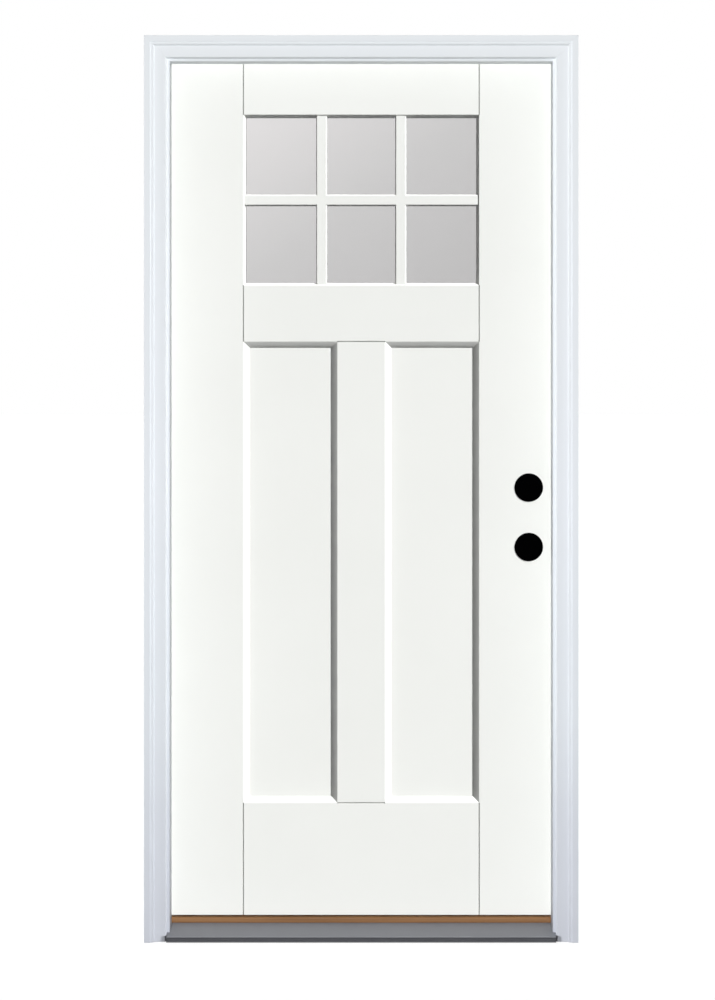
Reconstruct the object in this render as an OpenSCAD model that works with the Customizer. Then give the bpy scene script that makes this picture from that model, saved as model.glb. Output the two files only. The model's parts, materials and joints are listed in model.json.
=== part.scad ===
// Pre-hung front door: a moulded slab with a six-light glazed panel over two tall panels, in its frame.
// Millimetres. +Z is up, the outdoor side faces -Y, the hinges are at -X and the lock edge is at +X.
// The origin is on the underside of the sill, at mid width, under the outdoor edge of the jambs.

/* [Slab] */
// Width of the door slab
slab_w = 908; // [880:1:930]
// Height of the door slab
slab_h = 2006.6; // [1980:0.1:2030]
// Thickness of the door slab
slab_t = 44.5; // [44:0.1:46]
// Thickness of each moulded skin
skin_t = 2.2; // [2:0.1:2.6]
// Width of the wooden stile inside each long edge
edge_stile_w = 32; // [28:1:33]
// Height of the rail inside the top edge
head_rail_h = 38; // [30:1:50]
// Height of the rail inside the bottom edge
foot_rail_h = 57; // [45:1:70]

/* [Face layout] */
// Width of each stile as it shows on the face
stile_w = 177; // [170:1:190]
// Height of the top rail on the face
top_rail_h = 127; // [120:1:140]
// Height of the glazed opening
lite_h = 401; // [380:1:420]
// Height of the rail between glass and panels
mid_rail_h = 132; // [120:1:150]
// Height of the bottom rail on the face
bottom_rail_h = 263; // [240:1:280]
// Width of the mullion between the two panels
mullion_w = 112; // [100:1:125]
// Depth of the recessed panels
panel_depth = 9.5; // [8:0.1:10.5]
// Width of the curved sticking round each panel
sticking_w = 14; // [11:0.5:16]
// Width of the joint lines between stiles and rails
joint_line_w = 2.8; // [1.4:0.1:3]
// Depth of the joint lines
joint_line_d = 1.8; // [1:0.1:1.8]

/* [Glass] */
// Depth from the face to the back of the glazing rim
lite_depth = 8; // [7:0.1:8.5]
// Width of the sticking round the glass
lite_sticking_w = 5.5; // [4:0.5:7]
// Width of the rim behind the sticking, hidden in the slab
rim_w = 12; // [10:1:14]
// Overlap of the glass unit behind the rim
glass_bite = 10; // [8:0.5:11]
// Thickness of each pane
pane_t = 4; // [3:0.5:5]
// Thickness of the sealed glass unit
unit_t = 25.4; // [22:0.1:26]
// Width of the spacer between the panes
spacer_w = 6.5; // [5:0.5:7]
// Width of the grille bars
bar_w = 25.4; // [22:0.1:29]
// Distance of the upright bars from the middle
bar_x = 93; // [85:0.5:100]
// Distance of the bars' front below the face
bar_setback = 2; // [1.5:0.1:4]

/* [Lock bores] */
// Diameter of the lock bores through the faces
bore_d = 54; // [53:0.1:55]
// Diameter of the latch bores from the edge
latch_bore_d = 25.4; // [24:0.1:26]
// Distance of the lock bores from the lock edge
backset = 60.3; // [60:0.1:70]
// Height of the lower bore above the slab's underside
lock_z = 864; // [840:1:900]
// Distance between the two bores
bore_spacing = 139.7; // [130:0.1:145]
// Diameter of the black covers over the bores
cover_d = 66.7; // [62:0.1:70]
// Thickness of the covers
cover_t = 1.2; // [1:0.1:1.5]

/* [Frame] */
// Thickness of the jambs at the stop
jamb_t = 31.8; // [30:0.1:34]
// Depth of the jambs through the wall
jamb_depth = 116; // [114:0.5:120]
// Width of the stop, from the outdoor edge
stop_w = 60; // [58:0.5:62]
// Projection of the stop
stop_t = 12.7; // [12:0.1:13.5]
// Gap between slab and jamb
door_gap = 3.2; // [3:0.1:4]
// Strip of the jamb's edge that shows beside the brickmould
reveal = 6.4; // [5:0.1:8]
// Width of the brickmould
brickmould_w = 50.8; // [48:0.1:54]
// Thickness of the brickmould
brickmould_t = 31.8; // [30:0.1:33]

/* [Sill] */
// Height of the slab's underside above the sill's base
slab_lift = 41.3; // [41:0.1:46]
// Height of the sill's nose
nose_h = 12.7; // [11:0.1:14]
// Reach of the nose in front of the jambs
nose_reach = 30; // [27:0.5:31]
// Height of the deck where it meets the cap
seat_z = 24.9; // [24:0.1:26]
// Place of the deck's back edge
deck_back = 62; // [61:0.5:64]
// Thickness of the aluminium deck
deck_t = 2; // [1.6:0.1:2.4]
// Height of the oak cap's top, raised to the sweep
cap_top = 38.1; // [36:0.1:38.1]
// Thickness of the oak cap
cap_t = 14.4; // [13:0.1:14.4]
// Front-to-back width of the oak cap
cap_w = 49.5; // [47:0.5:49.5]

/* [Hinges] */
// Height of each hinge
hinge_h = 101.6; // [89:0.1:115]
// Thickness of the hinge leaves
leaf_t = 2.5; // [2.2:0.1:3]
// Width of the leaf let into the slab's edge
leaf_in = 38.1; // [34:0.1:40]
// Distance of the pin from the slab's indoor face
pin_out = 12.7; // [11:0.1:15]
// Outer diameter of the hinge knuckles
knuckle_d = 12.7; // [12:0.1:14]
// Diameter of the hinge pins
pin_d = 7.6; // [7:0.1:8]
// Height of the lowest hinge's middle above the slab's underside
low_hinge_z = 330; // [280:1:360]
// Distance of the highest hinge's middle below the slab's top
high_hinge_drop = 228; // [200:1:260]

/* [Hidden] */
$fn = 64;
// How far cutting shapes run past the surfaces they cut
over = 1;

// Slab layout, from the slab's own lower edge and its outdoor face
panel_h = slab_h - bottom_rail_h - mid_rail_h - lite_h - top_rail_h;
lite_z = slab_h - top_rail_h - lite_h / 2;
lite_w = slab_w - 2 * stile_w;
panel_w = (lite_w - mullion_w) / 2;
panel_x = (mullion_w + panel_w) / 2;
panel_z = bottom_rail_h + panel_h / 2;
// Share of the sticking's fall that is an even slope, the rest being a quarter round
even_slope = 0.7;
sticking_steps = 6;
// How much wider the recesses are on the back of the skin
skin_spread = 1;
// Share of the joint lines' width that is left at their floor
joint_floor_share = 0.75;
// Width of the joint lines at their floor
joint_floor = joint_line_w * joint_floor_share;

// Glass unit
sight_w = lite_w - 2 * lite_sticking_w;
sight_h = lite_h - 2 * lite_sticking_w;
unit_w = sight_w + 2 * glass_bite;
unit_h = sight_h + 2 * glass_bite;
tape_t = (slab_t - 2 * lite_depth - unit_t) / 2;
seal_w = glass_bite - spacer_w;
tape_setback = 1;
surround_gap = 3;
surround_w = 24;
bar_chamfer = 2;
bar_coping = 0.1;
glass_y = lite_depth + tape_t;

// Lock prep
bore_x = slab_w / 2 - backset;
bore_heights = [lock_z, lock_z + bore_spacing];
lock_block_w = 108;
lock_block_margin = 110;
latch_room = 1.3;
faceplate = [25.4, 57.2];
faceplate_t = 3.2;
strike_plate = [28.6, 57.2];
strike_t = 1.6;
plate_corner_r = 6.4;
cover_edge_r = 0.8;

// Frame
slab_y = jamb_depth - slab_t;
half_rabbet = slab_w / 2 + door_gap;
half_stop = half_rabbet - stop_t;
half_unit = half_stop + jamb_t;
half_brick = half_stop + reveal;
half_outer = half_brick + brickmould_w;
slab_top = slab_lift + slab_h;
head_rabbet_z = slab_top + door_gap;
head_stop_z = head_rabbet_z - stop_t;
head_top = head_stop_z + jamb_t;
brick_top = head_stop_z + reveal + brickmould_w;

// Brickmould section, measured from its outer edge and its back
fillet_w = 14;
fillet_step = 2.5;
quirk_w = 2.5;
ovolo_r = 6.2;
face_fall = 1.5;
nose_r = 4.8;
relief_from = 20;
relief_to = 27;
relief_d = 2.5;

// Weatherstrip and its kerf
kerf_y = stop_w + 0.6;
kerf_w = 2.4;
kerf_d = 9;
seal_gap = 0.3;
bulb_inset = 2.5;
bulb_r = 3;
tongue_slack = 0.4;
pad_t = 1.2;
pad_h = 50;
pad_margin = 4;

// Sill
nose_wall = 2.8;
nose_chamfer = 0.7;
nose_groove_d = 1.3;
nose_grooves = [[4.2, 6.3], [8.5, 10.6]];
deck_leg_z = 14;
channel_floor = 19.5;
channel_back_wall = 3.5;
cap_front = deck_back + 0.5;
cap_half = half_rabbet - 1;
cap_edge_r = 3;
cap_rebate_h = 2.6;
cap_rebate_d = 4;
nose_half = half_brick - 0.5;

// Sweep under the slab
sweep_base_t = 1.2;
sweep_fins = 4;
fin_t = 1.4;
barb_h = 8;
barb_t = 1.6;
barb_places = [11, 33];

// Cap adjusters
adjuster_places = [-390, -130, 130, 390];
adjuster_y = 88;
adjuster_r = 3;
adjuster_head_r = 6.5;
adjuster_head_h = 3;
adjuster_recess = 5;
adjuster_tip_z = 6;
adjuster_slack = 0.4;
insert_r = 6;
insert_floor = 5;
insert_hole_floor = 1.5;

// Hinges, about the pin's axis
pin_x = -slab_w / 2 - door_gap / 2;
pin_y = jamb_depth + pin_out;
hinge_heights = [
    slab_lift + low_hinge_z,
    slab_lift + (low_hinge_z + slab_h - high_hinge_drop) / 2,
    slab_top - high_hinge_drop
];
knuckles = 5;
knuckle_h = hinge_h / knuckles;
knuckle_gap = 0.15;
barrel_clear = knuckle_d / 2 + 0.85;
leaf_corner_r = 16;
leaf_slack = 0.15;
pin_slack = 0.1;
pin_head_r = 6;
pin_head_h = 3;
pin_tail = 1;

// Screws
screw_head_r = 4.6;
screw_r = 2.3;
screw_head_h = 2.4;
screw_tip = 4;
screw_slack = 0.1;
drive_slot = [1.2, 5, 1.4];
door_screw = 25;
jamb_screw = 16;
corner_screw = 60;
leaf_screws = [[12, 38], [26, 14], [26, -14], [12, -38]];
corner_screw_inset = 9.5;
head_screw_y = [30, 90];
sill_screw_y = [25, 100];

// Colours as the object shows them
door_white = [0.95, 0.955, 0.945];
frame_white = [0.88, 0.90, 0.92];
foam_cream = [0.86, 0.80, 0.62];
pine = [0.80, 0.66, 0.46];
glass_grey = [0.78, 0.79, 0.79, 0.6];
seal_black = [0.08, 0.08, 0.08];
seal_grey = [0.75, 0.76, 0.76];
steel = [0.72, 0.72, 0.70];
aluminium = [0.52, 0.53, 0.55];
composite_brown = [0.25, 0.20, 0.16];
oak = [0.52, 0.37, 0.23];

// Points along an arc, angles in degrees
function arc(centre, r, from, to, steps = 6) = [
    for (i = [0:steps])
        let (a = from + (to - from) * i / steps)
            centre + r * [cos(a), sin(a)]
];

// A rectangle with round corners, centred on the origin
function rounded(size, r) = concat(
    arc([size[0] / 2 - r, size[1] / 2 - r], r, 0, 90),
    arc([r - size[0] / 2, size[1] / 2 - r], r, 90, 180),
    arc([r - size[0] / 2, r - size[1] / 2], r, 180, 270),
    arc([size[0] / 2 - r, r - size[1] / 2], r, 270, 360)
);

// A point of the sticking, as shares of its width and depth, at an angle round its curve
function sticking(a) = [sin(a), even_slope * sin(a) + (1 - even_slope) * (1 - cos(a))];

// One side of a recess, from the face down to the floor, and on through it where asked
function recess_side(half, run, depth, through) = concat(
    [[half, -over]],
    [
        for (i = [0:sticking_steps])
            let (p = sticking(90 * i / sticking_steps))
                [half - run * p[0], depth * p[1]]
    ],
    through > 0 ? [[half - run, depth + through]] : []
);

// The whole section of a recess, symmetric about its middle
function recess_section(half, run, depth, through) =
    let (side = recess_side(half, run, depth, through), last = len(side) - 1)
        concat(side, [for (i = [last:-1:0]) [-side[i][0], side[i][1]]]);

// Height of the deck's upper face at a place y
function deck_z(y) = nose_h + (seat_z - nose_h) * (y + nose_reach) / (deck_back + nose_reach);

module block(low, high) {
    translate(low) cube(high - low);
}

// Extrudes a (y, z) outline along X, centred on X = 0
module along_x(length) {
    translate([-length / 2, 0, 0])
        rotate([90, 0, 90])
            linear_extrude(length) children();
}

// Turns a shape that points along +Z to point along +X
module to_x() {
    rotate([0, 90, 0]) children();
}

// Turns a shape that points along +Z to point along +Y
module to_y() {
    rotate([-90, 0, 0]) children();
}

module other_side() {
    mirror([1, 0, 0]) children();
}

// Slab frame: its outdoor face is y = 0 and its underside z = 0
module in_slab() {
    translate([0, slab_y, slab_lift]) children();
}

// Repeats a feature of the outdoor face on the indoor face
module indoor_face() {
    translate([0, slab_t, 0]) mirror([0, 1, 0]) children();
}

module at_hinges() {
    for (z = hinge_heights)
        translate([pin_x, pin_y, z]) children();
}

// A recess with mitred corners: two sections crossing each other
module recess(w, h, run, depth, through = 0) {
    intersection() {
        translate([0, 0, -h / 2])
            linear_extrude(h) polygon(recess_section(w / 2, run, depth, through));
        along_x(w)
            polygon([for (p = recess_section(h / 2, run, depth, through)) [p[1], p[0]]]);
    }
}

module panel_recesses(spread = 0) {
    for (side = [-1, 1])
        translate([side * panel_x, 0, panel_z])
            recess(panel_w + 2 * spread, panel_h + 2 * spread, sticking_w, panel_depth);
}

// The backs of the recesses, where the skin meets the core
module recess_backs() {
    translate([0, skin_t, 0]) panel_recesses(skin_spread);
}

module lite_opening(shrink = 0) {
    translate([0, 0, lite_z])
        recess(lite_w - 2 * shrink, lite_h - 2 * shrink, lite_sticking_w, lite_depth, slab_t / 4);
}

// A flat block centred on the glass, between two depths
module lite_block(w, h, from, to) {
    block([-w / 2, from, lite_z - h / 2], [w / 2, to, lite_z + h / 2]);
}

module lite_ring(w, h, wall, from, to) {
    difference() {
        lite_block(w, h, from, to);
        lite_block(w - 2 * wall, h - 2 * wall, from - over, to + over);
    }
}

module joint_line(length) {
    translate([0, 0, -length / 2])
        linear_extrude(length)
            polygon([[-joint_line_w / 2, -over], [joint_line_w / 2, -over], [joint_line_w / 2, 0],
                [joint_floor / 2, joint_line_d], [-joint_floor / 2, joint_line_d], [-joint_line_w / 2, 0]]);
}

// Joint lines where the rails meet the stiles and the mullion meets the rails
module joint_lines() {
    rails = [[-over, bottom_rail_h], [bottom_rail_h + panel_h, slab_h - top_rail_h - lite_h],
        [slab_h - top_rail_h, slab_h + over]];
    for (side = [-1, 1], span = rails)
        translate([side * lite_w / 2, 0, (span[0] + span[1]) / 2])
            joint_line(span[1] - span[0]);
    for (z = [bottom_rail_h, bottom_rail_h + panel_h])
        translate([0, 0, z])
            to_x() joint_line(mullion_w);
}

module lock_bores() {
    for (z = bore_heights)
        translate([bore_x, -over, z])
            to_y() cylinder(d = bore_d, h = slab_t + 2 * over);
}

module latch_bores(d) {
    for (z = bore_heights)
        translate([bore_x, slab_t / 2, z])
            to_x() cylinder(d = d, h = backset + over);
}

module faceplate_mortises() {
    for (z = bore_heights)
        translate([slab_w / 2 - faceplate_t, slab_t / 2, z])
            rotate([90, 0, 90])
                linear_extrude(faceplate_t + over) polygon(rounded(faceplate, plate_corner_r));
}

// One moulded sheet: the face with its recesses, cleared behind to an even thickness
module skin() {
    difference() {
        block([-slab_w / 2, 0, 0], [slab_w / 2, panel_depth + skin_t, slab_h]);
        panel_recesses();
        skin_back();
        lite_opening();
        joint_lines();
        lock_bores();
    }
}

module skin_back() {
    difference() {
        block([-slab_w / 2 - over, skin_t, -over],
            [slab_w / 2 + over, panel_depth + skin_t + over, slab_h + over]);
        recess_backs();
        lite_block(lite_w + 2 * rim_w, lite_h + 2 * rim_w, 0, lite_depth);
    }
}

module lock_block_space() {
    block([slab_w / 2 - edge_stile_w - lock_block_w, skin_t, lock_z - lock_block_margin],
        [slab_w / 2 - edge_stile_w, slab_t - skin_t, lock_z + bore_spacing + lock_block_margin]);
}

module surround_space() {
    lite_block(unit_w + 2 * (surround_gap + surround_w), unit_h + 2 * (surround_gap + surround_w),
        lite_depth, slab_t - lite_depth);
}

// Door leaf

module exterior_skin() {
    color(door_white) in_slab() skin();
}

module interior_skin() {
    color(door_white)
        difference() {
            in_slab() indoor_face() skin();
            at_hinges() leaf_mortise();
        }
}

module foam_core() {
    color(foam_cream)
        in_slab()
            difference() {
                block([edge_stile_w - slab_w / 2, skin_t, foot_rail_h],
                    [slab_w / 2 - edge_stile_w, slab_t - skin_t, slab_h - head_rail_h]);
                recess_backs();
                indoor_face() recess_backs();
                lite_block(lite_w + 2 * rim_w, lite_h + 2 * rim_w, 0, slab_t);
                surround_space();
                lock_block_space();
            }
}

module hinge_stile() {
    color(pine)
        difference() {
            in_slab()
                block([-slab_w / 2, skin_t, 0], [edge_stile_w - slab_w / 2, slab_t - skin_t, slab_h]);
            at_hinges() leaf_mortise();
            at_hinges() at_leaf_screws() screw_hole(door_screw);
        }
}

module lock_stile() {
    color(pine)
        in_slab()
            difference() {
                block([slab_w / 2 - edge_stile_w, skin_t, 0], [slab_w / 2, slab_t - skin_t, slab_h]);
                latch_bores(latch_bore_d);
                faceplate_mortises();
            }
}

module top_rail() {
    color(pine)
        in_slab()
            block([edge_stile_w - slab_w / 2, skin_t, slab_h - head_rail_h],
                [slab_w / 2 - edge_stile_w, slab_t - skin_t, slab_h]);
}

module bottom_rail() {
    color(pine)
        in_slab()
            difference() {
                block([edge_stile_w - slab_w / 2, skin_t, 0],
                    [slab_w / 2 - edge_stile_w, slab_t - skin_t, foot_rail_h]);
                for (y = barb_places)
                    block([-slab_w / 2, y - barb_t / 2 - tongue_slack / 2, -over],
                        [slab_w / 2, y + barb_t / 2 + tongue_slack / 2, barb_h + tongue_slack]);
            }
}

// The block behind the lock edge, where the latch passes with room to spare
module lock_block() {
    color(pine)
        in_slab()
            difference() {
                lock_block_space();
                lock_bores();
                latch_bores(latch_bore_d + 2 * latch_room);
            }
}

module lite_surround() {
    color(frame_white)
        in_slab()
            difference() {
                surround_space();
                lite_block(unit_w + 2 * surround_gap, unit_h + 2 * surround_gap, 0, slab_t);
            }
}

module pane(from) {
    color(glass_grey) in_slab() lite_block(unit_w, unit_h, from, from + pane_t);
}

module glass_spacer() {
    color(seal_grey)
        in_slab()
            lite_ring(unit_w - 2 * seal_w, unit_h - 2 * seal_w, spacer_w,
                glass_y + pane_t, slab_t - glass_y - pane_t);
}

module glass_edge_seal() {
    color(seal_black)
        in_slab() lite_ring(unit_w, unit_h, seal_w, glass_y + pane_t, slab_t - glass_y - pane_t);
}

module glazing_tape(from) {
    color(seal_black)
        in_slab() lite_ring(unit_w, unit_h, glass_bite - tape_setback, from, from + tape_t);
}

// A bar of the grille, lying on the glass, with its front edges chamfered
module bar(length) {
    bar_t = glass_y - bar_setback;
    translate([0, glass_y, -length / 2])
        linear_extrude(length)
            polygon([[-bar_w / 2, 0], [-bar_w / 2, bar_chamfer - bar_t], [bar_chamfer - bar_w / 2, -bar_t],
                [bar_w / 2 - bar_chamfer, -bar_t], [bar_w / 2, bar_chamfer - bar_t], [bar_w / 2, 0]]);
}

// Two upright bars and one across, cut to the sticking at their ends
module grille() {
    intersection() {
        lite_opening(bar_coping);
        translate([0, 0, lite_z])
            union() {
                for (side = [-1, 1])
                    translate([side * bar_x, 0, 0]) bar(lite_h);
                to_x() bar(lite_w);
            }
    }
}

module exterior_grille() {
    color(door_white) in_slab() grille();
}

module interior_grille() {
    color(door_white) in_slab() indoor_face() grille();
}

// Strip under the slab, with barbs in the bottom rail and fins that just clear the cap
module door_sweep() {
    fin_h = slab_lift - sweep_base_t - cap_top - seal_gap;
    base_w = slab_t - 2 * skin_t;
    color(seal_black)
        in_slab() {
            along_x(slab_w - 2 * over)
                union() {
                    translate([skin_t, -sweep_base_t]) square([base_w, sweep_base_t]);
                    for (i = [0:sweep_fins - 1])
                        translate([skin_t + (base_w - fin_t) * i / (sweep_fins - 1), -sweep_base_t - fin_h])
                            square([fin_t, fin_h + sweep_base_t]);
                }
            for (y = barb_places)
                block([edge_stile_w - slab_w / 2 + over, y - barb_t / 2, -sweep_base_t],
                    [slab_w / 2 - edge_stile_w - over, y + barb_t / 2, barb_h]);
        }
}

// A black disc with a rounded rim, flat on the outdoor face over one bore
module bore_cover(z) {
    r = cover_d / 2;
    color(seal_black)
        in_slab()
            translate([bore_x, 0, z])
                rotate([90, 0, 0])
                    rotate_extrude()
                        polygon(concat([[0, 0], [r, 0]],
                            arc([r - cover_edge_r, cover_t - cover_edge_r], cover_edge_r, 0, 90),
                            [[0, cover_t]]));
}

// Hinges

// Outline of a leaf in (y, z), grown by a slack for its mortise
function leaf_outline(slack) =
    let (far = -pin_out - leaf_in - slack, half = hinge_h / 2 + slack, r = leaf_corner_r)
        concat([[-barrel_clear, -half]], arc([far + r, r - half], r, 270, 180),
            arc([far + r, half - r], r, 180, 90), [[-barrel_clear, half]]);

// A leaf's flat outline, extruded from the slab's edge into the slab
module leaf_plate(slack, lead) {
    translate([door_gap / 2 - lead, 0, 0])
        rotate([90, 0, 90])
            linear_extrude(leaf_t + lead) polygon(leaf_outline(slack));
}

module leaf_mortise() {
    leaf_plate(leaf_slack, door_gap / 4);
}

module at_leaf_screws() {
    for (p = leaf_screws)
        translate([door_gap / 2, -pin_out - p[0], p[1]])
            to_x() children();
}

// A leaf with its knuckles, on the slab's side of the pin
module leaf(own) {
    difference() {
        union() {
            leaf_plate(0, 0);
            for (i = own)
                translate([0, 0, i * knuckle_h - hinge_h / 2 + knuckle_gap]) {
                    cylinder(d = knuckle_d, h = knuckle_h - 2 * knuckle_gap);
                    translate([door_gap / 2, -barrel_clear - over, 0])
                        cube([leaf_t, barrel_clear + over, knuckle_h - 2 * knuckle_gap]);
                }
        }
        translate([0, 0, -hinge_h]) cylinder(d = pin_d + 2 * pin_slack, h = 2 * hinge_h);
        at_leaf_screws() screw_hole(door_screw);
    }
}

module door_leaf(z) {
    color(steel) translate([pin_x, pin_y, z]) leaf([1, 3]);
}

module jamb_leaf(z) {
    color(steel) translate([pin_x, pin_y, z]) other_side() leaf([0, 2, 4]);
}

module hinge_pin(z) {
    r = pin_d / 2;
    top = hinge_h / 2;
    color(steel)
        translate([pin_x, pin_y, z])
            rotate_extrude()
                polygon(concat([[0, -top - pin_tail], [r - pin_tail / 2, -top - pin_tail],
                    [r, -top - pin_tail / 2], [r, top], [pin_head_r, top]],
                    arc([pin_head_r - pin_head_h / 2, top + pin_head_h / 2], pin_head_h / 2, 0, 90),
                    [[0, top + pin_head_h]]));
}

// A countersunk screw from its head's face at z = 0 along +Z
module screw(length) {
    difference() {
        rotate_extrude()
            polygon([[0, 0], [screw_head_r, 0], [screw_r, screw_head_h], [screw_r, length - screw_tip],
                [0, length]]);
        for (turn = [0, 90])
            rotate([0, 0, turn])
                translate([-drive_slot[0] / 2, -drive_slot[1] / 2, -over])
                    cube([drive_slot[0], drive_slot[1], drive_slot[2] + over]);
    }
}

module screw_hole(length) {
    head = screw_head_r + screw_slack;
    shank = screw_r + screw_slack;
    rotate_extrude()
        polygon([[0, -over], [head, -over], [head, 0], [shank, screw_head_h], [shank, length + screw_slack],
            [0, length + screw_slack]]);
}

module door_hinge_screws() {
    color(steel) at_hinges() at_leaf_screws() screw(door_screw);
}

module jamb_hinge_screws() {
    color(steel) at_hinges() other_side() at_leaf_screws() screw(jamb_screw);
}

// Frame

module jamb_section() {
    polygon([[half_stop, 0], [half_unit, 0], [half_unit, jamb_depth], [half_rabbet, jamb_depth],
        [half_rabbet, kerf_y + kerf_w], [half_rabbet + kerf_d, kerf_y + kerf_w],
        [half_rabbet + kerf_d, kerf_y], [half_rabbet, kerf_y], [half_rabbet, stop_w], [half_stop, stop_w]]);
}

// Everything under the sill's upper faces, which the jambs are cut to
module sill_space() {
    along_x(2 * half_outer)
        polygon([[-nose_reach, -over], [jamb_depth + over, -over], [jamb_depth + over, seat_z],
            [deck_back, seat_z], [-nose_reach, nose_h]]);
}

module head_screw_places() {
    for (side = [-1, 1], y = head_screw_y)
        translate([side * (half_unit - corner_screw_inset), y, head_top])
            rotate([180, 0, 0]) children();
}

module sill_screw_places() {
    for (side = [-1, 1], y = sill_screw_y)
        translate([side * (half_unit - corner_screw_inset), y, 0]) children();
}

// One upright of the frame, on the lock side, cut under the head and over the sill
module jamb() {
    difference() {
        linear_extrude(head_rabbet_z) jamb_section();
        sill_space();
        block([half_stop - over, -over, head_stop_z], [half_unit + over, stop_w, head_rabbet_z + over]);
        head_screw_places() screw_hole(corner_screw);
        sill_screw_places() screw_hole(corner_screw);
    }
}

module hinge_jamb() {
    color(frame_white)
        difference() {
            other_side() jamb();
            at_hinges() other_side() leaf_mortise();
            at_hinges() other_side() at_leaf_screws() screw_hole(jamb_screw);
        }
}

// The lock-side upright, with a mortise and a hole for each strike
module strike_jamb() {
    color(frame_white)
        difference() {
            jamb();
            for (z = bore_heights)
                translate([half_rabbet, slab_y + slab_t / 2, slab_lift + z]) {
                    translate([-over, 0, 0])
                        rotate([90, 0, 90])
                            linear_extrude(strike_t + over) polygon(rounded(strike_plate, plate_corner_r));
                    to_x() cylinder(d = latch_bore_d, h = jamb_t);
                }
        }
}

module head_jamb() {
    color(frame_white)
        difference() {
            along_x(2 * half_unit)
                polygon([[0, head_stop_z], [0, head_top], [jamb_depth, head_top], [jamb_depth, head_rabbet_z],
                    [kerf_y + kerf_w, head_rabbet_z], [kerf_y + kerf_w, head_rabbet_z + kerf_d],
                    [kerf_y, head_rabbet_z + kerf_d], [kerf_y, head_rabbet_z], [stop_w, head_rabbet_z],
                    [stop_w, head_stop_z]]);
            head_screw_places() screw_hole(corner_screw);
        }
}

// Section of the brickmould: a flat fillet, a step, an ovolo and a face that falls to a round nose
brickmould_section = concat(
    [[0, 0], [0, brickmould_t], [fillet_w, brickmould_t], [fillet_w, brickmould_t - fillet_step]],
    arc([fillet_w + quirk_w, brickmould_t - fillet_step - ovolo_r], ovolo_r, 90, 0),
    arc([brickmould_w - nose_r, brickmould_t - fillet_step - ovolo_r - face_fall - nose_r], nose_r, 90, 0),
    [[brickmould_w, 0], [relief_to, 0], [relief_to, relief_d], [relief_from, relief_d], [relief_from, 0]]
);

// An upright of brickmould on the lock side, mitred at its top
module upright_brickmould() {
    intersection() {
        linear_extrude(brick_top) polygon([for (p = brickmould_section) [half_outer - p[0], -p[1]]]);
        translate([0, over, 0])
            rotate([90, 0, 0])
                linear_extrude(brickmould_t + 2 * over)
                    polygon([[half_brick - over, 0], [half_outer + over, 0],
                        [half_outer + over, brick_top + over],
                        [half_brick - over, brick_top - brickmould_w - over]]);
    }
}

module right_brickmould() {
    color(frame_white) upright_brickmould();
}

module left_brickmould() {
    color(frame_white) other_side() upright_brickmould();
}

module head_brickmould() {
    low = brick_top - brickmould_w - over;
    color(frame_white)
        intersection() {
            along_x(2 * half_outer) polygon([for (p = brickmould_section) [-p[1], brick_top - p[0]]]);
            translate([0, over, 0])
                rotate([90, 0, 0])
                    linear_extrude(brickmould_t + 2 * over)
                        polygon([[over - half_brick, low], [half_brick - over, low],
                            [half_outer + over, brick_top + over], [-half_outer - over, brick_top + over]]);
        }
}

// Section of the weatherstrip: a bulb between stop and slab, with a tongue in the kerf.
// The first number runs away from the opening, from the stop's edge, and the second is depth.
weatherstrip_section = concat(
    [[bulb_inset, stop_w], [stop_t - tongue_slack, stop_w], [stop_t - tongue_slack, kerf_y + tongue_slack],
        [stop_t + kerf_d - tongue_slack, kerf_y + tongue_slack],
        [stop_t + kerf_d - tongue_slack, kerf_y + kerf_w - tongue_slack],
        [stop_t - tongue_slack, kerf_y + kerf_w - tongue_slack]],
    arc([stop_t - tongue_slack - bulb_r, slab_y - seal_gap - bulb_r], bulb_r, 0, 90),
    arc([bulb_inset + bulb_r, slab_y - seal_gap - bulb_r], bulb_r, 90, 180)
);

module upright_weatherstrip() {
    low = cap_top + over;
    color(seal_grey)
        translate([0, 0, low])
            linear_extrude(head_stop_z - low)
                polygon([for (p = weatherstrip_section) [half_stop + p[0], p[1]]]);
}

module head_weatherstrip() {
    color(seal_grey)
        along_x(2 * half_rabbet - 2 * tongue_slack)
            polygon([for (p = weatherstrip_section) [p[1], head_stop_z + p[0]]]);
}

module corner_pad() {
    color(seal_black)
        block([half_rabbet - pad_t, slab_y + pad_margin, cap_top + over],
            [half_rabbet, jamb_depth - pad_margin, cap_top + over + pad_h]);
}

// Sill

module nose_notches() {
    for (side = [-1, 1])
        block([side > 0 ? nose_half : -half_outer, -nose_reach - over, -over],
            [side > 0 ? half_outer : -nose_half, 0, seat_z + over]);
}

// The aluminium deck: a grooved nose, the sloping tread and a leg down behind it
module sill_deck() {
    grooves = [
        for (g = nose_grooves)
            each [[-nose_reach, g[0]], [nose_groove_d - nose_reach, g[0]],
                [nose_groove_d - nose_reach, g[1]], [-nose_reach, g[1]]]
    ];
    color(aluminium)
        difference() {
            along_x(2 * half_unit)
                polygon(concat([[nose_wall - nose_reach, 0], [-nose_reach, 0]], grooves,
                    [[-nose_reach, nose_h - nose_chamfer],
                        [nose_chamfer - nose_reach, deck_z(nose_chamfer - nose_reach)],
                        [deck_back, seat_z], [deck_back, deck_leg_z], [deck_back - deck_t, deck_leg_z],
                        [deck_back - deck_t, deck_z(deck_back - deck_t) - deck_t],
                        [nose_wall - nose_reach, deck_z(nose_wall - nose_reach) - deck_t]]));
            nose_notches();
            sill_screw_places() screw_hole(corner_screw);
        }
}

module adjusters_at(z) {
    for (x = adjuster_places)
        translate([x, adjuster_y, z]) children();
}

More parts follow.
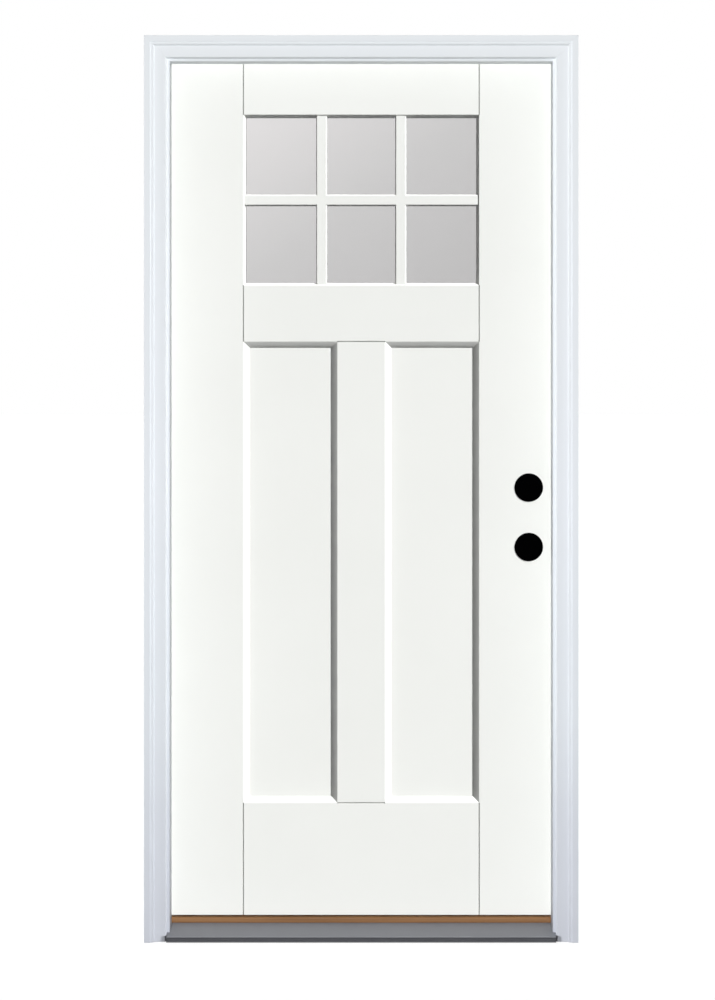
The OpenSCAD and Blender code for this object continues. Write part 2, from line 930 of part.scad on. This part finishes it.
// The solid base under the deck, with a channel for the cap between the jambs
module sill_substrate() {
    color(composite_brown)
        difference() {
            along_x(2 * half_unit)
                polygon([[nose_wall - nose_reach, 0], [jamb_depth, 0], [jamb_depth, seat_z],
                    [deck_back, seat_z], [deck_back, deck_leg_z], [deck_back - deck_t, deck_leg_z],
                    [deck_back - deck_t, deck_z(deck_back - deck_t) - deck_t],
                    [nose_wall - nose_reach, deck_z(nose_wall - nose_reach) - deck_t]]);
            block([-half_rabbet, deck_back, channel_floor],
                [half_rabbet, jamb_depth - channel_back_wall, seat_z + over]);
            nose_notches();
            adjusters_at(insert_floor) cylinder(r = insert_r, h = seat_z);
            adjusters_at(insert_hole_floor) cylinder(r = adjuster_r + adjuster_slack, h = seat_z);
            sill_screw_places() screw_hole(corner_screw);
        }
}

module adjuster_inserts() {
    color(steel)
        adjusters_at(insert_floor)
            difference() {
                cylinder(r = insert_r, h = channel_floor - insert_floor);
                translate([0, 0, -over]) cylinder(r = adjuster_r + adjuster_slack, h = seat_z);
            }
}

// The oak cap, with rounded top edges, a rebate over the deck and a counterbore for each adjuster
module sill_cap() {
    low = cap_top - cap_t;
    back = cap_front + cap_w;
    rebate_z = seat_z + cap_rebate_h;
    color(oak)
        difference() {
            along_x(2 * cap_half)
                polygon(concat([[cap_front, rebate_z], [cap_front + cap_rebate_d, rebate_z],
                    [cap_front + cap_rebate_d, low], [back, low]],
                    arc([back - cap_edge_r, cap_top - cap_edge_r], cap_edge_r, 0, 90),
                    arc([cap_front + cap_edge_r, cap_top - cap_edge_r], cap_edge_r, 90, 180)));
            adjusters_at(low - over) cylinder(r = adjuster_r + adjuster_slack, h = cap_t + 2 * over);
            adjusters_at(cap_top - adjuster_recess)
                cylinder(r = adjuster_head_r + adjuster_slack, h = adjuster_recess + over);
        }
}

// A slotted screw that turns in the cap and lifts it
module adjuster_screw(i) {
    head_z = cap_top - adjuster_recess + adjuster_slack / 4;
    color(steel)
        translate([adjuster_places[i], adjuster_y, 0])
            difference() {
                union() {
                    translate([0, 0, adjuster_tip_z])
                        cylinder(r = adjuster_r, h = head_z + over - adjuster_tip_z);
                    translate([0, 0, head_z])
                        cylinder(r = adjuster_head_r, h = adjuster_head_h);
                }
                translate([0, 0, head_z + adjuster_head_h])
                    cube([2 * (adjuster_head_r + over), drive_slot[0], 2 * drive_slot[2]], center = true);
            }
}

module head_screws() {
    color(steel) head_screw_places() screw(corner_screw);
}

module sill_screws() {
    color(steel) sill_screw_places() screw(corner_screw);
}

exterior_skin();
interior_skin();
foam_core();
hinge_stile();
lock_stile();
top_rail();
bottom_rail();
lock_block();
lite_surround();
pane(glass_y);  // outer_pane
pane(slab_t - glass_y - pane_t);  // inner_pane
glass_spacer();
glass_edge_seal();
glazing_tape(lite_depth);  // outer_glazing_tape
glazing_tape(slab_t - glass_y);  // inner_glazing_tape
exterior_grille();
interior_grille();
door_sweep();
bore_cover(bore_heights[0]);  // lower_bore_cover
bore_cover(bore_heights[1]);  // upper_bore_cover
door_leaf(hinge_heights[2]);  // top_hinge_door_leaf
door_leaf(hinge_heights[1]);  // middle_hinge_door_leaf
door_leaf(hinge_heights[0]);  // bottom_hinge_door_leaf
door_hinge_screws();
hinge_jamb();
strike_jamb();
head_jamb();
left_brickmould();
right_brickmould();
head_brickmould();
other_side() upright_weatherstrip();  // hinge_weatherstrip
upright_weatherstrip();  // strike_weatherstrip
head_weatherstrip();
other_side() corner_pad();  // hinge_corner_pad
corner_pad();  // strike_corner_pad
sill_substrate();
sill_deck();
adjuster_inserts();
jamb_leaf(hinge_heights[2]);  // top_hinge_jamb_leaf
jamb_leaf(hinge_heights[1]);  // middle_hinge_jamb_leaf
jamb_leaf(hinge_heights[0]);  // bottom_hinge_jamb_leaf
hinge_pin(hinge_heights[2]);  // top_hinge_pin
hinge_pin(hinge_heights[1]);  // middle_hinge_pin
hinge_pin(hinge_heights[0]);  // bottom_hinge_pin
jamb_hinge_screws();
head_screws();
sill_screws();
sill_cap();
adjuster_screw(0);  // adjuster_screw_1
adjuster_screw(1);  // adjuster_screw_2
adjuster_screw(2);  // adjuster_screw_3
adjuster_screw(3);  // adjuster_screw_4
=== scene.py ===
"""Studio picture of a panelled front door in its frame, seen square on from the outdoor side."""
import json
import math

import bpy
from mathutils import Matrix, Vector


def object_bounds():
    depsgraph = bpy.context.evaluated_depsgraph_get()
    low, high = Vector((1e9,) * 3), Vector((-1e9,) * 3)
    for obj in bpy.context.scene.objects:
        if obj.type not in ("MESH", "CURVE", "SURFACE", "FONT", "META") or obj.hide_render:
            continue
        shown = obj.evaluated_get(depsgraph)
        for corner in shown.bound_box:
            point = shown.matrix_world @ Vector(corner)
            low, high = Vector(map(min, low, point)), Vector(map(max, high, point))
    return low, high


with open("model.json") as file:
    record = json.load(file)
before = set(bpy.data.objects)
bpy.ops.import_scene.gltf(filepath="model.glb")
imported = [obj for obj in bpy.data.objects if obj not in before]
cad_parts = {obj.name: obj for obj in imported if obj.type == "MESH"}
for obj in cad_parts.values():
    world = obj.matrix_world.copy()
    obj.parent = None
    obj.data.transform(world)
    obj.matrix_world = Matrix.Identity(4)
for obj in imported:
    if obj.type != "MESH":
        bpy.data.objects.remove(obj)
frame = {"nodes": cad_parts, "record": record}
cad_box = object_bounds()
nodes = frame["nodes"]
record = frame["record"]

# Camera: its distance from the brickmould and its height, in metres
CAMERA_DISTANCE = 6.0
CAMERA_HEIGHT = 1.4

# Picture: the sensor in millimetres, a pixel's size at the brickmould in metres, and the rows of pixels
SENSOR = 36.0
PIXEL_SIZE = 0.0023091
IMAGE_ROWS = 1000

# Shift of the level lens, in heights of the picture, which takes in the sill
SHIFT_RIGHT = -0.0037
SHIFT_UP = -0.1636

# Brightness that each sun gives a white surface that faces the camera, its opposite or the sky
KEY_LEVEL = 0.88
FRAME_LEVEL = 0.68
MOULDING_LEVEL = 0.465
LOW_LEVEL = 0.84
BACK_LEFT_LEVEL = 0.36
BACK_RIGHT_LEVEL = 0.15

# Where each sun comes from
KEY_FROM = Vector((1.5, -1.0, 1.2))
FRAME_FROM = Vector((0.0, -1.0, 0.15))
MOULDING_LEFT_FROM = Vector((-1.7, -1.0, 0.0))
MOULDING_RIGHT_FROM = Vector((1.7, -1.0, 0.0))
LOW_FROM = Vector((0.0, -0.5, 1.0))
BACK_LEFT_FROM = Vector((-1.5, 0.9, 0.8))
BACK_RIGHT_FROM = Vector((1.6, 0.9, 0.4))

# How wide each sun is, in degrees: a wider one has softer shadows
KEY_WIDTH = 4.0
LOW_WIDTH = 6.0
SOFT_WIDTH = 10.0

# Strength of the soft light in front and behind, and the Y of a direction at which the latter is full
FILL_LEVEL = 0.045
DOME_LEVEL = 0.85
DOME_EDGE = 0.3

# The floor, in metres, with its own glow and the share of light that it throws back up
FLOOR_HALF_WIDTH = 40.0
FLOOR_HEIGHT = -0.0005
FLOOR_GLOW = 0.44
FLOOR_BOUNCE = 0.12

# Range that holds most values of a noise
NOISE_LOW = 0.3
NOISE_HIGH = 0.7

# Stretch of a grain that runs up the uprights, or along the pieces that lie across
UPRIGHT_GRAIN = (1.0, 1.0, 0.03)
ACROSS_GRAIN = (0.03, 1.0, 1.0)
OAK_STREAKS = (0.05, 1.0, 1.0)
OAK_PORES = (0.02, 1.0, 1.0)
ROLLED_LINES = (0.01, 1.0, 1.0)

# Painted shade in the joint lines, grey where a crevice is narrow and shadow falls: a crevice's reach in
# metres, and how open a place is with full grey and with none
JOINT_REACH = 0.0025
JOINT_CLOSED = 0.45
JOINT_OPEN = 0.8
JOINT_PAINTED_SHADE = (0.20, 0.20, 0.19, 1.0)

# Height in metres over which the frame's paint changes, with painted shade that greys it towards the foot,
# and the shares that height and patches have in it
PAINTED_SHADE_HEIGHT = 2.1
PAINTED_SHADE_SHARE = 0.94
PATCH_SHARE = 0.06
PATCH_LOW = 0.2
PATCH_HIGH = 0.8

# Stretch in metres over which the glass changes, with painted shade and reflection that darken it down and
# towards the lock edge, and the share that each direction has in it
GLASS_SHADE_HALF_WIDTH = 0.28
GLASS_SHADE_BOTTOM = 1.51
GLASS_SHADE_TOP = 1.92
GLASS_SHADE_SHARE = 0.5

# How far the roughness of metal goes up and down along its lines
METAL_VARIATION = 0.06

# Rays that look for an edge or a crevice
EDGE_RAYS = 6
CREVICE_RAYS = 8

WHITE = (1.0, 1.0, 1.0, 1.0)

# Pieces of the frame that have lights of their own
SILL_NODES = ["sill_substrate", "sill_deck", "sill_screws", "adjuster_inserts"]
MOULDING_NODES = ["left_brickmould", "right_brickmould", "head_brickmould"]

# Pieces whose grain runs across the door
ACROSS_NODES = ["head_jamb", "head_brickmould", "top_rail", "bottom_rail"]


# Node helpers

def start_material(name, rough, metal=0.0, specular=0.5):
    """A new material with its shader's constant values set."""
    made = bpy.data.materials.new(name)
    made.use_nodes = True
    shader = made.node_tree.nodes["Principled BSDF"]
    shader.inputs["Roughness"].default_value = rough
    shader.inputs["Metallic"].default_value = metal
    shader.inputs["Specular IOR Level"].default_value = specular
    return made, made.node_tree, shader


def object_point(tree, stretch):
    """The object's own coordinates, scaled along each axis."""
    coord = tree.nodes.new("ShaderNodeTexCoord")
    mapping = tree.nodes.new("ShaderNodeMapping")
    mapping.inputs["Scale"].default_value = stretch
    tree.links.new(coord.outputs["Object"], mapping.inputs["Vector"])
    return mapping.outputs["Vector"]


def position(tree, axis, space="Object"):
    """Where a point is along one axis."""
    coord = tree.nodes.new("ShaderNodeTexCoord")
    split = tree.nodes.new("ShaderNodeSeparateXYZ")
    tree.links.new(coord.outputs[space], split.inputs["Vector"])
    return split.outputs[axis]


def noise(tree, scale, detail=3.0, stretch=(1, 1, 1)):
    """Smooth noise, from 0 to 1."""
    node = tree.nodes.new("ShaderNodeTexNoise")
    node.inputs["Scale"].default_value = scale
    node.inputs["Detail"].default_value = detail
    tree.links.new(object_point(tree, stretch), node.inputs["Vector"])
    return node.outputs["Fac"]


def ramp(tree, factor, *stops):
    """A colour for each place on a scale from 0 to 1."""
    node = tree.nodes.new("ShaderNodeValToRGB")
    elements = node.color_ramp.elements
    elements[0].position = stops[0][0]
    elements[1].position = stops[-1][0]
    for place, _ in stops[1:-1]:
        elements.new(place)
    for element, (_, colour) in zip(elements, stops):
        element.color = (*colour, 1.0)
    tree.links.new(factor, node.inputs["Fac"])
    return node.outputs["Color"]


def two_tone(tree, factor, dark, light):
    """A colour that follows a noise from dark to light."""
    return ramp(tree, factor, (NOISE_LOW, dark), (NOISE_HIGH, light))


def spread(tree, value, low, high, to_low, to_high):
    """A value moved from one range to another and held inside it."""
    node = tree.nodes.new("ShaderNodeMapRange")
    node.inputs["From Min"].default_value = low
    node.inputs["From Max"].default_value = high
    node.inputs["To Min"].default_value = to_low
    node.inputs["To Max"].default_value = to_high
    tree.links.new(value, node.inputs["Value"])
    return node.outputs["Result"]


def vary(tree, shader, factor, low, high):
    """Roughness that follows a noise between two limits."""
    rough = spread(tree, factor, NOISE_LOW, NOISE_HIGH, low, high)
    tree.links.new(rough, shader.inputs["Roughness"])


def add(tree, first, second):
    """The sum of two values."""
    node = tree.nodes.new("ShaderNodeMath")
    node.operation = "ADD"
    tree.links.new(first, node.inputs[0])
    tree.links.new(second, node.inputs[1])
    return node.outputs["Value"]


def relief(tree, shader, height, depth, edge=0.0):
    """Bumps of a depth in metres, over edges softened to a radius."""
    node = tree.nodes.new("ShaderNodeBump")
    node.inputs["Distance"].default_value = depth
    tree.links.new(height, node.inputs["Height"])
    if edge > 0:
        soft = tree.nodes.new("ShaderNodeBevel")
        soft.samples = EDGE_RAYS
        soft.inputs["Radius"].default_value = edge
        tree.links.new(soft.outputs["Normal"], node.inputs["Normal"])
    tree.links.new(node.outputs["Normal"], shader.inputs["Normal"])


def crevice_shade_mask(tree, reach):
    """One on open surfaces, and less inside lines narrower than a reach in metres: the mask for painted
    shade in narrow crevices.
    """
    node = tree.nodes.new("ShaderNodeAmbientOcclusion")
    node.samples = CREVICE_RAYS
    node.inputs["Distance"].default_value = reach
    return node.outputs["AO"]


def seen_directly(tree):
    """One for what the camera, mirrors and glass see, and nought for light that surfaces pass on."""
    path = tree.nodes.new("ShaderNodeLightPath")
    seen = add(tree, path.outputs["Is Camera Ray"], path.outputs["Is Glossy Ray"])
    return spread(tree, add(tree, seen, path.outputs["Is Transmission Ray"]), 0.0, 1.0, 0.0, 1.0)


def show(tree, seen, passed_on, output):
    """Send one shader out to what sees it directly, and another to light that surfaces pass on."""
    mix = tree.nodes.new("ShaderNodeMixShader")
    tree.links.new(seen_directly(tree), mix.inputs["Fac"])
    tree.links.new(passed_on, mix.inputs[1])
    tree.links.new(seen, mix.inputs[2])
    tree.links.new(mix.outputs["Shader"], tree.nodes[output].inputs["Surface"])


# Materials, one for each slot of the record, and one for the floor

def door_paint():
    """Smooth warm white, with a faint unevenness of the sprayed coat and painted shade (grey) in the joint
    lines.
    """
    made, tree, shader = start_material("door_paint", rough=0.42, specular=0.3)
    coat = two_tone(tree, noise(tree, scale=3.0), (0.865, 0.875, 0.845), (0.885, 0.895, 0.865))
    # Painted shade: the paint turns grey inside narrow joint lines, where shadow falls
    unshaded_share = spread(tree, crevice_shade_mask(tree, JOINT_REACH), JOINT_CLOSED, JOINT_OPEN, 0.0, 1.0)
    mix = tree.nodes.new("ShaderNodeMixRGB")
    mix.inputs["Color1"].default_value = JOINT_PAINTED_SHADE
    tree.links.new(unshaded_share, mix.inputs["Fac"])
    tree.links.new(coat, mix.inputs["Color2"])
    tree.links.new(mix.outputs["Color"], shader.inputs["Base Color"])
    vary(tree, shader, noise(tree, scale=40.0), low=0.38, high=0.48)
    relief(tree, shader, noise(tree, scale=420.0), depth=0.00004, edge=0.0003)
    return made


def frame_paint(name, along):
    """Cool white primer on wood, with painted shade that makes it greyer towards the foot."""
    made, tree, shader = start_material(name, rough=0.5, specular=0.3)
    # Painted shade: the paint darkens and greys towards the foot, as light falling off downwards would
    height = spread(tree, position(tree, "Z"), 0.0, PAINTED_SHADE_HEIGHT, 0.0, PAINTED_SHADE_SHARE)
    patches = spread(tree, noise(tree, scale=5.0), PATCH_LOW, PATCH_HIGH, 0.0, PATCH_SHARE)
    tint = ramp(tree, add(tree, height, patches),
                (0.03, (0.53, 0.55, 0.605)), (0.10, (0.575, 0.60, 0.655)), (0.28, (0.685, 0.72, 0.76)),
                (0.49, (0.74, 0.77, 0.81)), (1.0, (0.75, 0.78, 0.805)))
    tree.links.new(tint, shader.inputs["Base Color"])
    vary(tree, shader, noise(tree, scale=60.0), low=0.44, high=0.56)
    relief(tree, shader, noise(tree, scale=160.0, detail=4.0, stretch=along), depth=0.00008, edge=0.001)
    return made


def bare_wood(name, along):
    """Planed softwood with long grain."""
    made, tree, shader = start_material(name, rough=0.6, specular=0.3)
    grain = noise(tree, scale=90.0, detail=6.0, stretch=along)
    tint = two_tone(tree, grain, (0.42, 0.27, 0.14), (0.66, 0.49, 0.30))
    tree.links.new(tint, shader.inputs["Base Color"])
    relief(tree, shader, grain, depth=0.0002)
    return made


def oak():
    """Stained oak with streaks and open pores along the sill."""
    made, tree, shader = start_material("oak", rough=0.42, specular=0.2)
    streaks = noise(tree, scale=60.0, detail=6.0, stretch=OAK_STREAKS)
    pores = noise(tree, scale=700.0, detail=2.0, stretch=OAK_PORES)
    tint = ramp(tree, streaks, (0.25, (0.21, 0.095, 0.033)), (0.5, (0.30, 0.145, 0.054)),
                (0.75, (0.38, 0.19, 0.075)))
    tree.links.new(tint, shader.inputs["Base Color"])
    vary(tree, shader, pores, low=0.35, high=0.55)
    relief(tree, shader, pores, depth=0.00015, edge=0.0008)
    return made


def foam():
    """Cast foam with small cells."""
    made, tree, shader = start_material("foam", rough=0.85)
    cells = noise(tree, scale=500.0, detail=2.0)
    tint = two_tone(tree, cells, (0.68, 0.58, 0.36), (0.83, 0.75, 0.54))
    tree.links.new(tint, shader.inputs["Base Color"])
    relief(tree, shader, cells, depth=0.0005)
    return made


def glass():
    """Clear panes with a grey tint, and painted shade and reflection that deepen it down and towards the
    lock edge.
    """
    made, tree, shader = start_material("glass", rough=0.03)
    shader.inputs["Transmission Weight"].default_value = 1.0
    shader.inputs["IOR"].default_value = 1.45
    # Painted shade and reflection: the tint deepens down and towards the lock edge, as light across the
    # panes would
    across = spread(tree, position(tree, "X"), -GLASS_SHADE_HALF_WIDTH, GLASS_SHADE_HALF_WIDTH, GLASS_SHADE_SHARE, 0.0)
    up = spread(tree, position(tree, "Z"), GLASS_SHADE_BOTTOM, GLASS_SHADE_TOP, 0.0, GLASS_SHADE_SHARE)
    tint = ramp(tree, add(tree, across, up), (0.0, (0.705, 0.70, 0.70)), (0.5, (0.765, 0.76, 0.76)),
                (1.0, (0.875, 0.865, 0.865)))
    tree.links.new(tint, shader.inputs["Base Color"])
    relief(tree, shader, noise(tree, scale=2.5), depth=0.0002)
    return made


def rubber(name, dark, light, rough):
    """Soft seal with a fine skin."""
    made, tree, shader = start_material(name, rough, specular=0.3)
    skin = noise(tree, scale=300.0)
    tree.links.new(two_tone(tree, skin, dark, light), shader.inputs["Base Color"])
    relief(tree, shader, skin, depth=0.0001)
    return made


def plastic(name, dark, light, rough, specular):
    """Moulded plastic with a fine eggshell grain."""
    made, tree, shader = start_material(name, rough, specular=specular)
    grain = noise(tree, scale=600.0)
    tree.links.new(two_tone(tree, grain, dark, light), shader.inputs["Base Color"])
    relief(tree, shader, grain, depth=0.00005, edge=0.0004)
    return made


def metal(name, dark, light, rough, amount, stretch):
    """Metal with fine lines along one direction."""
    made, tree, shader = start_material(name, rough, metal=amount)
    lines = noise(tree, scale=900.0, detail=2.0, stretch=stretch)
    tree.links.new(two_tone(tree, lines, dark, light), shader.inputs["Base Color"])
    vary(tree, shader, lines, low=rough - METAL_VARIATION, high=rough + METAL_VARIATION)
    relief(tree, shader, lines, depth=0.00003, edge=0.0004)
    return made


def floor_material():
    """Plain pale studio floor with an even glow, which throws little light back up."""
    made, tree, shader = start_material("studio_floor", rough=0.9, specular=0.0)
    tint = two_tone(tree, noise(tree, scale=2.0), (0.475, 0.475, 0.475), (0.485, 0.485, 0.485))
    tree.links.new(tint, shader.inputs["Base Color"])
    shader.inputs["Emission Color"].default_value = WHITE
    shader.inputs["Emission Strength"].default_value = FLOOR_GLOW
    dim = tree.nodes.new("ShaderNodeBsdfDiffuse")
    dim.inputs["Color"].default_value = (FLOOR_BOUNCE, FLOOR_BOUNCE, FLOOR_BOUNCE, 1.0)
    show(tree, shader.outputs["BSDF"], dim.outputs["BSDF"], "Material Output")
    made.cycles.emission_sampling = "NONE"
    return made


MATERIALS = {
    "door_paint": door_paint(),
    "frame_paint": frame_paint("frame_paint", UPRIGHT_GRAIN),
    "bare_wood": bare_wood("bare_wood", UPRIGHT_GRAIN),
    "oak": oak(),
    "foam": foam(),
    "glass": glass(),
    "black_seal": rubber("black_seal", (0.012, 0.012, 0.012), (0.03, 0.03, 0.03), rough=0.7),
    "brown_seal": rubber("brown_seal", (0.24, 0.125, 0.06), (0.30, 0.155, 0.078), rough=0.7),
    "white_seal": rubber("white_seal", (0.66, 0.67, 0.68), (0.76, 0.77, 0.78), rough=0.6),
    "white_plastic": plastic("white_plastic", (0.80, 0.81, 0.81), (0.86, 0.87, 0.87),
                             rough=0.5, specular=0.5),
    "black_plastic": plastic("black_plastic", (0.0002, 0.0002, 0.0003), (0.001, 0.001, 0.0012),
                             rough=0.9, specular=0.0),
    "brown_composite": plastic("brown_composite", (0.06, 0.042, 0.03), (0.10, 0.07, 0.05),
                               rough=0.7, specular=0.4),
    "steel": metal("steel", (0.50, 0.49, 0.47), (0.66, 0.65, 0.62),
                   rough=0.34, amount=1.0, stretch=UPRIGHT_GRAIN),
    "mill_aluminium": metal("mill_aluminium", (0.115, 0.12, 0.135), (0.152, 0.157, 0.172),
                            rough=0.5, amount=0.15, stretch=ROLLED_LINES),
}

# The same finishes, for grain that runs across the door
ACROSS = {
    "frame_paint": frame_paint("frame_paint_across", ACROSS_GRAIN),
    "bare_wood": bare_wood("bare_wood_across", ACROSS_GRAIN),
}

for part in record["subparts"]:
    slots = nodes[part["node"]].data.materials
    slots.clear()
    finishes = ACROSS if part["node"] in ACROSS_NODES else MATERIALS
    slots.append(finishes[part["material_slot"]])


# Floor

def make_floor():
    """A wide plane just under the sill."""
    signs = [(-1, -1), (1, -1), (1, 1), (-1, 1)]
    corners = [(x * FLOOR_HALF_WIDTH, y * FLOOR_HALF_WIDTH, FLOOR_HEIGHT) for x, y in signs]
    mesh = bpy.data.meshes.new("floor")
    mesh.from_pydata(corners, [], [range(len(corners))])
    made = bpy.data.objects.new("floor", mesh)
    made.data.materials.append(floor_material())
    bpy.context.scene.collection.objects.link(made)
    return made


# Light

def only(name, members):
    """A set of objects that a lamp is kept to."""
    group = bpy.data.collections.new(name)
    for member in members:
        group.objects.link(member)
    return group


def exclude(name, members):
    """A set of objects that a lamp leaves out."""
    group = only(name, members)
    for entry in group.collection_objects:
        entry.light_linking.link_state = "EXCLUDE"
    return group


def make_sun(name, source, level, normal, width):
    """A sun that gives a white surface facing along normal that level of brightness."""
    data = bpy.data.lights.new(name, "SUN")
    data.energy = level * math.pi / source.normalized().dot(normal)
    data.angle = math.radians(width)
    made = bpy.data.objects.new(name, data)
    made.rotation_euler = (-source).to_track_quat("-Z", "Y").to_euler()
    bpy.context.scene.collection.objects.link(made)
    return made


def keep_to(sun, lit, shading):
    """Let a sun light some pieces, and be shaded by some pieces, and by no others."""
    sun.light_linking.receiver_collection = only(sun.name + "_lights", lit)
    sun.light_linking.blocker_collection = only(sun.name + "_shadows", shading)


def make_world():
    """Soft light, dim in front and brighter behind, which the camera, mirrors and glass see as white."""
    world = bpy.data.worlds.new("studio")
    bpy.context.scene.world = world
    world.use_nodes = True
    tree = world.node_tree
    fill = tree.nodes["Background"]
    fill.inputs["Color"].default_value = WHITE
    level = spread(tree, position(tree, "Y", "Generated"), 0.0, DOME_EDGE, FILL_LEVEL, DOME_LEVEL)
    tree.links.new(level, fill.inputs["Strength"])
    white = tree.nodes.new("ShaderNodeBackground")
    white.inputs["Strength"].default_value = 1.0
    white.inputs["Color"].default_value = WHITE
    show(tree, white.outputs["Background"], fill.outputs["Background"], "World Output")


def make_lights(floor):
    """A raking key for the door, and plain lights for its frame, mouldings and back, and low down."""
    facing = Vector((0, -1, 0))
    upward = Vector((0, 0, 1))
    door = [nodes[name] for name in record["behaviour"]["bodies"]["door"]]
    low = [nodes[name] for name in SILL_NODES]
    moulding = [nodes[name] for name in MOULDING_NODES]
    others = [node for node in nodes.values() if node not in door + low + moulding]
    key = make_sun("key", KEY_FROM, KEY_LEVEL, facing, KEY_WIDTH)
    keep_to(key, door, door)
    soft = make_sun("frame_light", FRAME_FROM, FRAME_LEVEL, facing, SOFT_WIDTH)
    keep_to(soft, others, low)
    for name, source in (("moulding_left", MOULDING_LEFT_FROM), ("moulding_right", MOULDING_RIGHT_FROM)):
        beside = make_sun(name, source, MOULDING_LEVEL, facing, SOFT_WIDTH)
        keep_to(beside, moulding, low)
    overhead = make_sun("low_light", LOW_FROM, LOW_LEVEL, upward, LOW_WIDTH)
    overhead.light_linking.receiver_collection = only("low_light_lights", low + [floor])
    behind = [
        ("back_left", BACK_LEFT_FROM, BACK_LEFT_LEVEL),
        ("back_right", BACK_RIGHT_FROM, BACK_RIGHT_LEVEL),
    ]
    for name, source, level in behind:
        back = make_sun(name, source, level, -facing, SOFT_WIDTH)
        back.light_linking.receiver_collection = exclude(name + "_misses", [floor])


# Camera

def make_camera():
    """A level camera square to the door."""
    data = bpy.data.cameras.new("camera")
    data.sensor_fit = "VERTICAL"
    data.sensor_height = SENSOR
    data.lens = SENSOR * CAMERA_DISTANCE / (PIXEL_SIZE * IMAGE_ROWS)
    data.shift_x = SHIFT_RIGHT
    data.shift_y = SHIFT_UP
    brickmould_front = cad_box[0].y
    level = math.radians(90.0)
    made = bpy.data.objects.new("camera", data)
    made.location = (0.0, brickmould_front - CAMERA_DISTANCE, CAMERA_HEIGHT)
    made.rotation_euler = (level, 0.0, 0.0)
    bpy.context.scene.collection.objects.link(made)
    bpy.context.scene.camera = made


make_world()
make_lights(make_floor())
make_camera()
bpy.context.scene.view_settings.view_transform = "Standard"
